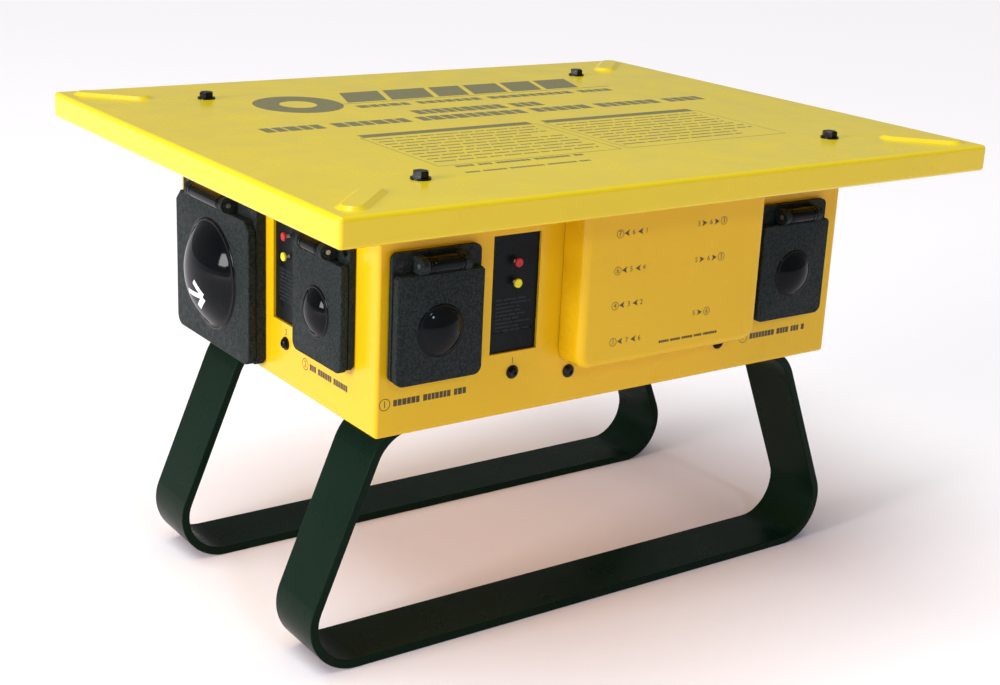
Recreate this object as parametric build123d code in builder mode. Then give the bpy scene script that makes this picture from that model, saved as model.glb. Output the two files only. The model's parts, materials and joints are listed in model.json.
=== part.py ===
from build123d import *
import math
import os

# Portable power distribution box: a sheet-steel enclosure on two U-shaped legs under an overhanging
# lid. Millimetres, +Z up. The origin is on the floor, under the centre of the lid. -Y is the front.

# ---- driving dimensions -------------------------------------------------------------------------
LID_WIDTH = 546.1
LID_DEPTH = 444.5
LID_TOP = 344.8
LID_SKIRT = 19.2
LID_LIP = 8.0
SHEET = 2.0
LID_EDGE_R = 3.2
LIP_EDGE_R = 2.6

BODY_HALF_WIDTH = 202.3
BODY_HALF_DEPTH = 147.7
BODY_BOTTOM = 173.9
BODY_EDGE_R = 2.5
GASKET = 3.0
FLANGE = 20.0

RIB_LENGTH = 62.0
RIB_WIDTH = 20.0
RIB_HEIGHT = 2.2
RIB_SLOPE = 60.0
RIB_INSET = 34.0

LID_BOLT_X = 177.6
LID_BOLT_Y = 154.4
BOLT_R = 3.1
BOLT_HOLE_R = 3.5
NUT_HOLE_R = 3.2
NUT_FLATS = 11.1
NUT_HEIGHT = 5.6
LID_HEAD_FLATS = 9.6
LID_WASHER_R = 6.7
LID_WASHER_T = 1.2
LID_HEAD_HEIGHT = 5.4
LEG_HEAD_HEIGHT = 4.3
HEX_CHAMFER = 0.7
THREAD_PAST_NUT = 3.0

LEG_BAR_WIDTH = 50.8
LEG_BAR_T = 6.35
LEG_OUTER_Y = 128.3
LEG_BEND_R = 33.175
LEG_FOOT_HALF = 201.0
LEG_SPLAY = 22.5
LEG_FLANGE_END = 118.0
LEG_BOLT_X = 138.0
LEG_BOLT_PITCH = 26.0
LEG_EDGE_R = 0.8

# Outlet covers. Local x runs to the right seen from outside, local y up, local z out of the wall.
OUTLET_Z = LID_TOP - 89.2
PLATE_GASKET = 1.5
PLATE_WIDTH = 67.0
PLATE_HEIGHT = 85.6
PLATE_T = 3.5
PLATE_CORNER_R = 4.5
PLATE_SCREW_X = 27.5
PLATE_SCREW_Y = 36.0
SCREW_R = 1.8
SCREW_HOLE_R = 2.0
SCREW_HEAD_R = 2.7
SINK = SCREW_HEAD_R + 0.2 - SCREW_HOLE_R
POST_SCREW_LENGTH = 12.0
OUTLET_FACE_R = 17.0
OUTLET_BODY_R = 21.0
OUTLET_DEPTH = 32.0
OUTLET_FACE_Y = -10.0
SLOT_X = 6.35
SLOT_Y = 3.0
SLOT_WIDTH = 2.2
SLOT_HEIGHT = 7.6
SLOT_DEPTH = 14.0
EARTH_R = 2.4
EARTH_Y = -7.0

FLIP_WIDTH = 66.0
FLIP_HEIGHT = 73.2
FLIP_Y = -7.9
FLIP_T = 5.7
FLIP_GAP = 0.3
FLIP_CORNER_R = 6.0
FLIP_CHAMFER = 1.8
FLIP_EDGE_R = 1.2
DOME_R = 17.0
DOME_HEIGHT = 6.5
DOME_WALL = 2.2

AXIS_Y = 34.9
AXIS_OUT = 12.5
BARREL_R = 5.5
BARREL_LENGTH = 26.0
EAR_LENGTH = 5.0
EAR_GAP = 0.3
PIN_R = 1.6
PIN_FIT = 0.04
PIN_PAST_EAR = 0.8
SPRING_COIL_R = 2.9
SPRING_WIRE_R = 0.5
SPRING_PITCH = 1.9
SPRING_LENGTH = 11.4
SPRING_POCKET_R = 4.1
SPRING_POCKET_LENGTH = 14.0

# Inlet and feed-through covers, the same local directions.
POWER_Z = LID_TOP - 105.8
POWER_Y = 66.2
POWER_WIDTH = 121.5
POWER_HEIGHT = 119.6
POWER_T = 6.0
POWER_FLIP_WIDTH = 121.0
POWER_FLIP_HEIGHT = 105.6
POWER_FLIP_Y = -7.2
POWER_HOLE_Y = -5.7
POWER_FLIP_T = 6.2
POWER_CORNER_R = 8.0
POWER_CHAMFER = 7.5
POWER_DOME_R = 40.0
POWER_DOME_HEIGHT = 16.0
POWER_AXIS_Y = 51.6
POWER_AXIS_OUT = 14.9
POWER_BARREL_R = 5.8
POWER_BARREL_LENGTH = 52.0
POWER_SCREW_X = 53.0
POWER_SCREW_Y = 52.5
POWER_HOLE_R = 34.0
POWER_NOSE_R = 33.6
POWER_BODY_R = 38.0
POWER_DEPTH = 46.0
SHROUD_OUT = 14.0
SHROUD_BORE_R = 29.0
SHROUD_FLOOR = -26.0
BLADE_R = 16.8
BLADE_T = 1.6
BLADE_ARC = 46.0
BLADE_COUNT = 3
BLADE_OUT = 8.0
SHELL_SLOT_DEPTH = 18.0

# Ground-fault modules.
WINDOW_WIDTH = 38.2
WINDOW_HEIGHT = 81.7
WINDOW_Z = LID_TOP - 85.75
MODULE_WIDTH = 44.0
MODULE_HEIGHT = 90.0
MODULE_DEPTH = 40.0
MODULE_RECESS = 2.2
MODULE_EAR_WIDTH = 24.0
MODULE_EAR_TOP = 62.0
MODULE_SCREW_Y = 55.1
PANEL_SCREW_R = 2.2
PANEL_SCREW_HEAD_R = 4.8
PANEL_SCREW_HEAD_T = 3.4
PANEL_SCREW_FLANGE_T = 1.1
PANEL_SCREW_TIP_R = 2.6
PANEL_SCREW_LENGTH = 9.0
PANEL_HOLE_R = PANEL_SCREW_R + 0.2
FACE_SLOT_X = 11.2
FACE_SLOT_Y = -26.0
FACE_SLOT_WIDTH = 9.2
FACE_SLOT_HEIGHT = 1.6
TEST_Y = 21.75
RESET_Y = 7.55
BUTTON_R = 3.1
BUTTON_CAP_T = 1.8
BUTTON_PROUD = 3.2
BUTTON_STEM_R = 1.1
BUTTON_EDGE_R = 0.6
STEM_DEPTH = 6.0

# Breaker door and the breakers behind it.
DOOR_CENTRE_X = 20.8
DOOR_OFFSET_X = 2.2
DOOR_WIDTH = 162.4
DOOR_PROUD = 24.0
DOOR_TOP = LID_TOP - 27.5
DOOR_BOTTOM = LID_TOP - 140.6
DOOR_WALL_GAP = 0.6
DOOR_CORNER_R = 12.0
DOOR_FACE_R = 6.0
DOOR_AXIS_Z = LID_TOP - 29.0
DOOR_AXIS_OUT = 5.0
DOOR_KNUCKLE_R = 3.4
DOOR_HINGE_LENGTH = 150.0
DOOR_KNUCKLES = 5
DOOR_KNUCKLE_GAP = 0.4
DOOR_LEAF_TOP = LID_TOP - 12.0

BREAKER_WIDTH = 25.0
BREAKER_PITCH = 25.4
BREAKER_LENGTH = 75.0
BREAKER_ROWS = 4
BREAKER_COUNT = 7
BREAKER_Z = LID_TOP - 83.0
BREAKER_FRONT = -4.6
BREAKER_BACK = -58.0
NOSE_LENGTH = 40.0
NOSE_OUT = 1.0
NOSE_OFFSET = 32.6
BREAKER_WINDOW_WIDTH = 112.0
BREAKER_WINDOW_HEIGHT = 102.6
PANEL_FRONT = -2.2
PANEL_T = 2.0
PANEL_WIDTH = 156.0
PANEL_TOP = LID_TOP - 11.5
PANEL_BOTTOM = LID_TOP - 153.0
POST_X = 69.25
POST_TOP_Z = LID_TOP - 18.5
POST_BOTTOM_Z = LID_TOP - 147.7
POST_R = 4.5
BASE_BACK = -66.0
BASE_T = 4.0
BUS_X = 12.0
BUS_WIDTH = 12.0
BUS_T = 1.8
BUS_LENGTH = 100.0
BUS_BACK = -60.0
PILOT_DEPTH = 10.0
STUD_R = 4.0
LUG_WIDTH = 40.0
LUG_HEIGHT = 14.0
LUG_DEPTH = 14.0
LUG_FRONT = -66.2
HANDLE_PIVOT = -9.0
HANDLE_HUB_R = 6.0
HANDLE_TIP = 10.5
HANDLE_T = 6.0
HANDLE_WIDTH = 9.0
HANDLE_TILT = 17.0
HANDLE_CLEAR = 0.4
TRUNNION_R = 1.5
TRUNNION_HALF = 7.6
HANDLE_SLOT = 14.2

# Wiring inside.
WIRE_R = 3.5
WIRE_BEND = 18.0
TERMINAL_STEP = 12.0
LINE_DROP_X = 120.0
NEUTRAL_DROP_X = 92.0
GROUND_DROP_X = 118.0
BAR_LENGTH = 120.0
BAR_WIDTH = 12.0
BAR_HEIGHT = 12.0
BAR_HOLE_PITCH = 15.0
BAR_SCREW_R = 3.0
BAR_SCREW_HEIGHT = 2.0
NEUTRAL_Y = 78.2
GROUND_Y = 102.0
INSULATOR_HEIGHT = 10.0

LID_UNDER = LID_TOP - SHEET
FLANGE_TOP = LID_UNDER - GASKET
FLANGE_UNDER = FLANGE_TOP - SHEET
FLOOR_TOP = BODY_BOTTOM + SHEET
LEG_Y = LEG_OUTER_Y - LEG_BAR_WIDTH / 2


# ---- where things sit on the walls --------------------------------------------------------------
def wall_plane(wall, along, z):
    """A plane on a wall's outer face, x to the right seen from outside, y up, z outwards."""
    if wall == "front":
        return Plane(origin=(along, -BODY_HALF_DEPTH, z), x_dir=(1, 0, 0), z_dir=(0, -1, 0))
    if wall == "back":
        return Plane(origin=(along, BODY_HALF_DEPTH, z), x_dir=(-1, 0, 0), z_dir=(0, 1, 0))
    if wall == "left":
        return Plane(origin=(-BODY_HALF_WIDTH, along, z), x_dir=(0, -1, 0), z_dir=(-1, 0, 0))
    return Plane(origin=(BODY_HALF_WIDTH, along, z), x_dir=(0, 1, 0), z_dir=(1, 0, 0))


# Outlet and module numbers, each with its wall and place along it. Outlet 7 has no module.
OUTLETS = {
    1: wall_plane("front", -161.7, OUTLET_Z),
    2: wall_plane("left", -87.0, OUTLET_Z),
    3: wall_plane("back", -95.0, OUTLET_Z),
    4: wall_plane("back", 33.0, OUTLET_Z),
    5: wall_plane("back", 161.0, OUTLET_Z),
    6: wall_plane("right", -87.0, OUTLET_Z),
    7: wall_plane("front", 149.8, OUTLET_Z),
}
MODULES = {
    1: wall_plane("front", -96.2, WINDOW_Z),
    2: wall_plane("left", -24.7, WINDOW_Z),
    3: wall_plane("back", -159.5, WINDOW_Z),
    4: wall_plane("back", -31.5, WINDOW_Z),
    5: wall_plane("back", 96.5, WINDOW_Z),
    6: wall_plane("right", -24.7, WINDOW_Z),
}
INLET = wall_plane("left", POWER_Y, POWER_Z)
FEED_OUTLET = wall_plane("right", POWER_Y, POWER_Z)
BREAKER_BAY = wall_plane("front", DOOR_CENTRE_X, 0.0)

# The two sizes of cover: a plate with hinge ears, and the flip lid that closes it.
SMALL_COVER = {
    "width": PLATE_WIDTH,
    "height": PLATE_HEIGHT,
    "thickness": PLATE_T,
    "front": PLATE_GASKET + PLATE_T,
    "hole_y": OUTLET_FACE_Y,
    "hole_r": OUTLET_FACE_R + 0.2,
    "screw_x": PLATE_SCREW_X,
    "screw_y": PLATE_SCREW_Y,
    "axis_y": AXIS_Y,
    "axis_out": AXIS_OUT,
    "barrel_r": BARREL_R,
    "barrel_length": BARREL_LENGTH,
    "flip_width": FLIP_WIDTH,
    "flip_height": FLIP_HEIGHT,
    "flip_y": FLIP_Y,
    "flip_t": FLIP_T,
    "flip_corner": FLIP_CORNER_R,
    "flip_chamfer": FLIP_CHAMFER,
    "dome_r": DOME_R,
    "dome_height": DOME_HEIGHT,
}
LARGE_COVER = {
    "width": POWER_WIDTH,
    "height": POWER_HEIGHT,
    "thickness": POWER_T,
    "front": PLATE_GASKET + POWER_T,
    "hole_y": POWER_HOLE_Y,
    "hole_r": POWER_HOLE_R,
    "screw_x": POWER_SCREW_X,
    "screw_y": POWER_SCREW_Y,
    "axis_y": POWER_AXIS_Y,
    "axis_out": POWER_AXIS_OUT,
    "barrel_r": POWER_BARREL_R,
    "barrel_length": POWER_BARREL_LENGTH,
    "flip_width": POWER_FLIP_WIDTH,
    "flip_height": POWER_FLIP_HEIGHT,
    "flip_y": POWER_FLIP_Y,
    "flip_t": POWER_FLIP_T,
    "flip_corner": POWER_CORNER_R,
    "flip_chamfer": POWER_CHAMFER,
    "dome_r": POWER_DOME_R,
    "dome_height": POWER_DOME_HEIGHT,
}
COVERS = [(plane, SMALL_COVER) for plane in OUTLETS.values()]
COVERS += [(INLET, LARGE_COVER), (FEED_OUTLET, LARGE_COVER)]

CORNERS = [(sx, sy) for sx in (-1, 1) for sy in (-1, 1)]
LID_BOLT_POINTS = [(sx * LID_BOLT_X, sy * LID_BOLT_Y) for sx, sy in CORNERS]
LEG_BOLT_POINTS = [
    (sx * LEG_BOLT_X, sy * LEG_Y + step * LEG_BOLT_PITCH / 2) for sx, sy in CORNERS for step in (-1, 1)
]


# ---- helpers that add to, or cut from, the part being built --------------------------------------
def moved(plane, x, y, out=0.0):
    """The same plane, moved by its own x and y, and out along its normal."""
    origin = plane.from_local_coords((x, y, out))
    return Plane(origin=origin, x_dir=plane.x_dir, z_dir=plane.z_dir)


def discs(plane, radius, amount, points=((0, 0),), mode=Mode.ADD):
    with BuildSketch(plane) as profile:
        with Locations(*points):
            Circle(radius)
    extrude(profile.sketch, amount=amount, mode=mode)


def hexes(plane, flats, amount, points):
    with BuildSketch(plane) as profile:
        with Locations(*points):
            RegularPolygon(flats / 2, 6, major_radius=False)
    extrude(profile.sketch, amount=amount)


def block(plane, x, y, width, height, low, high, mode=Mode.ADD):
    """A block centred at the plane's x, y, from low to high along its normal."""
    with BuildSketch(moved(plane, x, y, low)) as profile:
        Rectangle(width, height)
    extrude(profile.sketch, amount=high - low, mode=mode)


def bar_along_x(plane, x, y, out, radius, length, mode=Mode.ADD):
    """A round bar from x along the plane's own x direction."""
    origin = plane.from_local_coords((x, y, out))
    with BuildSketch(Plane(origin=origin, x_dir=plane.y_dir, z_dir=plane.x_dir)) as profile:
        Circle(radius)
    extrude(profile.sketch, amount=length, mode=mode)


def cone(plane, low_r, high_r, low, high, mode=Mode.ADD):
    """A cone along the plane's normal, from radius low_r at low to high_r at high."""
    with BuildSketch(plane.offset(low)) as small_end:
        Circle(low_r)
    with BuildSketch(plane.offset(high)) as large_end:
        Circle(high_r)
    loft([small_end.sketch, large_end.sketch], mode=mode)


def corner_points(x, y):
    return [(sx * x, sy * y) for sx, sy in CORNERS]


def wall_cut(plane, width, height):
    block(plane, 0, 0, width, height, -2 * SHEET, SHEET, mode=Mode.SUBTRACT)


def wall_holes(plane, radius, points):
    discs(plane.offset(SHEET), radius, -3 * SHEET, points, mode=Mode.SUBTRACT)


def save(part, label):
    part.label = label
    export_step(part, f"parts/{label}.step")


# ---- enclosure and lid --------------------------------------------------------------------------
def make_enclosure():
    height = FLANGE_TOP - BODY_BOTTOM
    with BuildPart() as enclosure:
        with BuildSketch(Plane.XY.offset(BODY_BOTTOM)):
            RectangleRounded(2 * BODY_HALF_WIDTH, 2 * BODY_HALF_DEPTH, BODY_EDGE_R)
        extrude(amount=height)
        fillet(enclosure.edges().group_by(Axis.Z)[0], radius=BODY_EDGE_R - 0.1)
        with BuildSketch(Plane.XY.offset(FLANGE_UNDER)):
            RectangleRounded(2 * (BODY_HALF_WIDTH + FLANGE), 2 * (BODY_HALF_DEPTH + FLANGE), BODY_EDGE_R)
        extrude(amount=SHEET)
        inside_r = BODY_EDGE_R - SHEET
        with BuildSketch(Plane.XY.offset(FLOOR_TOP)):
            RectangleRounded(2 * (BODY_HALF_WIDTH - SHEET), 2 * (BODY_HALF_DEPTH - SHEET), inside_r)
        extrude(amount=height, mode=Mode.SUBTRACT)
        for plane in OUTLETS.values():
            wall_holes(plane, OUTLET_FACE_R + 0.4, [(0, OUTLET_FACE_Y)])
        for plane in (INLET, FEED_OUTLET):
            wall_holes(plane, POWER_HOLE_R, [(0, POWER_HOLE_Y)])
        for plane, cover in COVERS:
            wall_holes(plane, SCREW_HOLE_R, corner_points(cover["screw_x"], cover["screw_y"]))
        for plane in MODULES.values():
            wall_cut(plane, WINDOW_WIDTH, WINDOW_HEIGHT)
            wall_holes(plane, PANEL_HOLE_R, [(0, MODULE_SCREW_Y), (0, -MODULE_SCREW_Y)])
        wall_cut(moved(BREAKER_BAY, 0, BREAKER_Z), BREAKER_WINDOW_WIDTH, BREAKER_WINDOW_HEIGHT)
        wall_holes(BREAKER_BAY, PANEL_HOLE_R, [(-POST_X, POST_BOTTOM_Z), (POST_X, POST_BOTTOM_Z)])
        for x in (-POST_X, POST_X):
            post = moved(BREAKER_BAY, x, POST_TOP_Z)
            wall_holes(post, SCREW_HOLE_R, [(0, 0)])
            cone(post, SCREW_HOLE_R, SCREW_HEAD_R + 0.2, -SINK, 0, mode=Mode.SUBTRACT)
        discs(Plane.XY.offset(FLANGE_UNDER), BOLT_HOLE_R, SHEET, LID_BOLT_POINTS, mode=Mode.SUBTRACT)
        discs(Plane.XY.offset(BODY_BOTTOM), BOLT_HOLE_R, SHEET, LEG_BOLT_POINTS, mode=Mode.SUBTRACT)
    save(enclosure.part, "enclosure")


def rib_locations():
    """One pressed rib at each corner of the lid, on the diagonal."""
    spots = []
    for sx, sy in CORNERS:
        centre = (sx * (LID_WIDTH / 2 - RIB_INSET), sy * (LID_DEPTH / 2 - RIB_INSET), 0)
        spots.append(Location(centre, (0, 0, 45 * sx * sy)))
    return spots


def make_top_lid():
    bottom = LID_TOP - LID_SKIRT
    inset = 2 * (SHEET + LID_LIP)
    with BuildPart() as top_lid:
        with BuildSketch(Plane.XY.offset(bottom)):
            RectangleRounded(LID_WIDTH, LID_DEPTH, LID_EDGE_R)
        extrude(amount=LID_SKIRT)
        fillet(top_lid.edges().group_by(Axis.Z)[-1], radius=LID_EDGE_R - 0.1)
        fillet(top_lid.edges().group_by(Axis.Z)[0], radius=LIP_EDGE_R)
        with BuildSketch(Plane.XY.offset(bottom + SHEET)):
            RectangleRounded(LID_WIDTH - 2 * SHEET, LID_DEPTH - 2 * SHEET, LID_EDGE_R - SHEET)
        extrude(amount=LID_SKIRT - 2 * SHEET, mode=Mode.SUBTRACT)
        with BuildSketch(Plane.XY.offset(bottom)):
            RectangleRounded(LID_WIDTH - inset, LID_DEPTH - inset, LID_EDGE_R)
        extrude(amount=2 * SHEET, mode=Mode.SUBTRACT)
        with BuildSketch(Plane.XY.offset(LID_TOP)):
            with Locations(*rib_locations()):
                SlotOverall(RIB_LENGTH, RIB_WIDTH)
        extrude(amount=RIB_HEIGHT, taper=RIB_SLOPE)
        with BuildSketch(Plane.XY.offset(LID_UNDER)):
            with Locations(*rib_locations()):
                SlotOverall(RIB_LENGTH, RIB_WIDTH)
        extrude(amount=RIB_HEIGHT, taper=RIB_SLOPE, mode=Mode.SUBTRACT)
        discs(Plane.XY.offset(LID_UNDER), BOLT_HOLE_R, SHEET, LID_BOLT_POINTS, mode=Mode.SUBTRACT)
    save(top_lid.part, "top_lid")


def make_lid_gasket():
    with BuildPart() as lid_gasket:
        with BuildSketch(Plane.XY.offset(FLANGE_TOP)):
            Rectangle(2 * (BODY_HALF_WIDTH + FLANGE), 2 * (BODY_HALF_DEPTH + FLANGE))
            Rectangle(2 * (BODY_HALF_WIDTH - SHEET), 2 * (BODY_HALF_DEPTH - SHEET), mode=Mode.SUBTRACT)
            with Locations(*LID_BOLT_POINTS):
                Circle(BOLT_HOLE_R, mode=Mode.SUBTRACT)
        extrude(amount=GASKET)
    save(lid_gasket.part, "lid_gasket")


def make_lid_bolts():
    on_lid = Plane.XY.offset(LID_TOP)
    grip = LID_TOP - FLANGE_UNDER + NUT_HEIGHT + THREAD_PAST_NUT
    with BuildPart() as lid_bolts:
        hexes(on_lid, LID_HEAD_FLATS, LID_HEAD_HEIGHT, LID_BOLT_POINTS)
        chamfer(lid_bolts.faces().group_by(Axis.Z)[-1].edges(), length=HEX_CHAMFER)
        discs(on_lid, LID_WASHER_R, LID_WASHER_T, LID_BOLT_POINTS)
        discs(on_lid, BOLT_R, -grip, LID_BOLT_POINTS)
    save(lid_bolts.part, "lid_bolts")


def make_nuts(label, z, points):
    with BuildPart() as nuts:
        hexes(Plane.XY.offset(z), NUT_FLATS, NUT_HEIGHT, points)
        discs(Plane.XY.offset(z), NUT_HOLE_R, NUT_HEIGHT, points, mode=Mode.SUBTRACT)
    save(nuts.part, label)


# ---- legs ---------------------------------------------------------------------------------------
def make_leg(label, side):
    """A flat bar bent into a U: two flanges under the body, two splayed sides and a foot."""
    y = side * LEG_Y
    foot = LEG_BAR_T / 2
    top = BODY_BOTTOM - LEG_BAR_T / 2
    heel = LEG_FOOT_HALF + LEG_BEND_R * math.tan(math.radians((90 + LEG_SPLAY) / 2))
    shoulder = heel - (top - foot) * math.tan(math.radians(LEG_SPLAY))
    corners = [(LEG_FLANGE_END, top), (shoulder, top), (heel, foot)]
    route = [(-x, y, z) for x, z in corners] + [(x, y, z) for x, z in reversed(corners)]
    start = Plane(origin=route[0], x_dir=(0, 1, 0), z_dir=(-1, 0, 0))
    points = [point for point in LEG_BOLT_POINTS if point[1] * side > 0]
    with BuildPart() as leg:
        with BuildLine() as path:
            FilletPolyline(*route, radius=LEG_BEND_R)
        with BuildSketch(start):
            RectangleRounded(LEG_BAR_WIDTH, LEG_BAR_T, LEG_EDGE_R)
        sweep(path=path.line)
        discs(Plane.XY.offset(BODY_BOTTOM - LEG_BAR_T), BOLT_HOLE_R, LEG_BAR_T, points, mode=Mode.SUBTRACT)
    save(leg.part, label)


def make_leg_bolts():
    under = Plane.XY.offset(BODY_BOTTOM - LEG_BAR_T)
    length = LEG_BAR_T + SHEET + NUT_HEIGHT + THREAD_PAST_NUT
    with BuildPart() as leg_bolts:
        hexes(under, NUT_FLATS, -LEG_HEAD_HEIGHT, LEG_BOLT_POINTS)
        chamfer(leg_bolts.faces().group_by(Axis.Z)[0].edges(), length=HEX_CHAMFER)
        discs(under, BOLT_R, length, LEG_BOLT_POINTS)
    save(leg_bolts.part, "leg_bolts")


# ---- covers -------------------------------------------------------------------------------------
def add_cover_plate(plane, cover):
    """A moulded cover plate: round corners, countersunk screw holes and two hinge ears."""
    with BuildSketch(plane.offset(PLATE_GASKET)) as outline:
        RectangleRounded(cover["width"], cover["height"], PLATE_CORNER_R)
        with Locations((0, cover["hole_y"])):
            Circle(cover["hole_r"], mode=Mode.SUBTRACT)
    extrude(outline.sketch, amount=cover["thickness"])
    front = cover["front"]
    for x, y in corner_points(cover["screw_x"], cover["screw_y"]):
        screw = moved(plane, x, y)
        cone(screw, SCREW_HOLE_R, SCREW_HEAD_R + 0.2, front - SINK, front, mode=Mode.SUBTRACT)
        discs(screw, SCREW_HOLE_R, front, mode=Mode.SUBTRACT)
    axis_y, axis_out, radius = cover["axis_y"], cover["axis_out"], cover["barrel_r"]
    inner = cover["barrel_length"] / 2 + EAR_GAP
    for start in (-inner - EAR_LENGTH, inner):
        middle = start + EAR_LENGTH / 2
        bar_along_x(plane, start, axis_y, axis_out, radius, EAR_LENGTH)
        block(plane, middle, axis_y, EAR_LENGTH, 2 * radius, front - 0.5, axis_out)
        bar_along_x(plane, start, axis_y, axis_out, PIN_R + PIN_FIT, EAR_LENGTH, mode=Mode.SUBTRACT)


def make_cover_plates(label, planes, cover):
    with BuildPart() as plates:
        for plane in planes:
            add_cover_plate(plane, cover)
    save(plates.part, label)


def make_plate_gaskets():
    with BuildPart() as gaskets:
        for plane, cover in COVERS:
            with BuildSketch(plane):
                RectangleRounded(cover["width"] - 2, cover["height"] - 2, PLATE_CORNER_R)
                with Locations((0, cover["hole_y"])):
                    Circle(cover["hole_r"] + 0.3, mode=Mode.SUBTRACT)
                with Locations(*corner_points(cover["screw_x"], cover["screw_y"])):
                    Circle(SCREW_HOLE_R, mode=Mode.SUBTRACT)
            extrude(amount=PLATE_GASKET)
    save(gaskets.part, "plate_gaskets")


def add_flat_screw(plane, front, length):
    """A countersunk screw along the plane's normal, its flat head flush at front."""
    neck = front - (SCREW_HEAD_R - SCREW_R)
    cone(plane, SCREW_R, SCREW_HEAD_R, neck, front)
    discs(plane.offset(neck), SCREW_R, front - length - neck)


def make_plate_screws():
    with BuildPart() as screws:
        for plane, cover in COVERS:
            for x, y in corner_points(cover["screw_x"], cover["screw_y"]):
                add_flat_screw(moved(plane, x, y), cover["front"], cover["front"] + SHEET + 1)
        for x in (-POST_X, POST_X):
            add_flat_screw(moved(BREAKER_BAY, x, POST_TOP_Z), 0, POST_SCREW_LENGTH)
    save(screws.part, "plate_screws")


def add_dome(plane, cover):
    """A spherical cap standing on the flip lid, hollow from behind."""
    back = cover["front"] + FLIP_GAP
    front = back + cover["flip_t"]
    radius, height = cover["dome_r"], cover["dome_height"]
    ball = (radius**2 + height**2) / (2 * height)
    centre = front + height - ball
    middle = moved(plane, 0, cover["hole_y"])
    section = Plane(origin=middle.origin, x_dir=plane.x_dir, z_dir=plane.y_dir * -1)
    spin = Axis(middle.origin, plane.z_dir)
    for ball_r, low, mode in ((ball, front, Mode.ADD), (ball - DOME_WALL, back - 1, Mode.SUBTRACT)):
        edge_r = math.sqrt(ball_r**2 - (front - centre) ** 2)
        half = math.asin(edge_r / ball_r) / 2
        shoulder = (ball_r * math.sin(half), centre + ball_r * math.cos(half))
        with BuildSketch(section) as profile:
            with BuildLine():
                Polyline((0, centre + ball_r), (0, low - 0.5), (edge_r, low - 0.5), (edge_r, front))
                ThreePointArc((edge_r, front), shoulder, (0, centre + ball_r))
            make_face()
        revolve(profile.sketch, axis=spin, mode=mode)


def make_flip_lid(label, plane, cover):
    """A flip lid with its dome and hinge barrel. A pocket behind the barrel holds the spring."""
    back = cover["front"] + FLIP_GAP
    axis_y, axis_out, length = cover["axis_y"], cover["axis_out"], cover["barrel_length"]
    neck = cover["flip_y"] + cover["flip_height"] / 2 - 4
    with BuildPart() as flip_lid:
        with BuildSketch(moved(plane, 0, cover["flip_y"], back)) as outline:
            Rectangle(cover["flip_width"], cover["flip_height"])
            fillet(outline.vertices().group_by(Axis.Y)[0], radius=cover["flip_corner"])
            chamfer(outline.vertices().group_by(Axis.Y)[-1], length=cover["flip_chamfer"])
        extrude(amount=cover["flip_t"])
        face = flip_lid.faces().sort_by(Axis(plane.origin, plane.z_dir))[-1]
        fillet(face.edges(), radius=FLIP_EDGE_R)
        add_dome(plane, cover)
        for side in (-1, 1):
            ear_x = side * (length / 2 + EAR_GAP + EAR_LENGTH / 2)
            notch = (ear_x, axis_y, EAR_LENGTH + 2 * EAR_GAP, 2 * (cover["barrel_r"] + 2 * EAR_GAP))
            block(plane, *notch, 0, 2 * axis_out, mode=Mode.SUBTRACT)
        arm_front = back + cover["flip_t"] - FLIP_EDGE_R
        block(plane, 0, (neck + axis_y) / 2, length, axis_y - neck, back, arm_front)
        bar_along_x(plane, -length / 2, axis_y, axis_out, cover["barrel_r"], length)
        bar_along_x(plane, -length / 2, axis_y, axis_out, PIN_R + PIN_FIT, length, mode=Mode.SUBTRACT)
        pocket = SPRING_POCKET_LENGTH
        bar_along_x(plane, -pocket / 2, axis_y, axis_out, SPRING_POCKET_R, pocket, mode=Mode.SUBTRACT)
        block(plane, 0, axis_y, pocket, 2 * SPRING_POCKET_R, 0, axis_out, mode=Mode.SUBTRACT)
    save(flip_lid.part, label)


def make_hinge_pins():
    with BuildPart() as hinge_pins:
        for plane, cover in COVERS:
            half = cover["barrel_length"] / 2 + EAR_GAP + EAR_LENGTH + PIN_PAST_EAR
            bar_along_x(plane, -half, cover["axis_y"], cover["axis_out"], PIN_R, 2 * half)
    save(hinge_pins.part, "hinge_pins")


def make_lid_springs():
    with BuildPart() as lid_springs:
        for plane, cover in COVERS:
            start = plane.from_local_coords((-SPRING_LENGTH / 2, cover["axis_y"], cover["axis_out"]))
            with BuildLine() as coil:
                Helix(SPRING_PITCH, SPRING_LENGTH, SPRING_COIL_R, center=start, direction=plane.x_dir)
            with BuildSketch(Plane(origin=coil.line @ 0, z_dir=coil.line % 0)):
                Circle(SPRING_WIRE_R)
            sweep(path=coil.line, is_frenet=True)
    save(lid_springs.part, "lid_springs")


# ---- receptacles, inlet and feed-through outlet ----------------------------------------------------
def make_receptacles():
    front = SMALL_COVER["front"]
    with BuildPart() as receptacles:
        for plane in OUTLETS.values():
            face = moved(plane, 0, OUTLET_FACE_Y)
            discs(face.offset(-OUTLET_DEPTH), OUTLET_BODY_R, OUTLET_DEPTH - SHEET - 0.2)
            discs(face.offset(-SHEET - 0.2), OUTLET_FACE_R - 0.1, front + SHEET + 0.2)
            for x, width, height in ((SLOT_X, SLOT_WIDTH, SLOT_HEIGHT), (-SLOT_X, SLOT_WIDTH, SLOT_HEIGHT)):
                block(face, x, SLOT_Y, width, height, front - SLOT_DEPTH, front, mode=Mode.SUBTRACT)
            block(face, -SLOT_X - 1.5, SLOT_Y, 4, SLOT_WIDTH, front - SLOT_DEPTH, front, mode=Mode.SUBTRACT)
            discs(face.offset(front), EARTH_R, -SLOT_DEPTH, [(0, EARTH_Y)], mode=Mode.SUBTRACT)
    save(receptacles.part, "receptacles")


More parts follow.
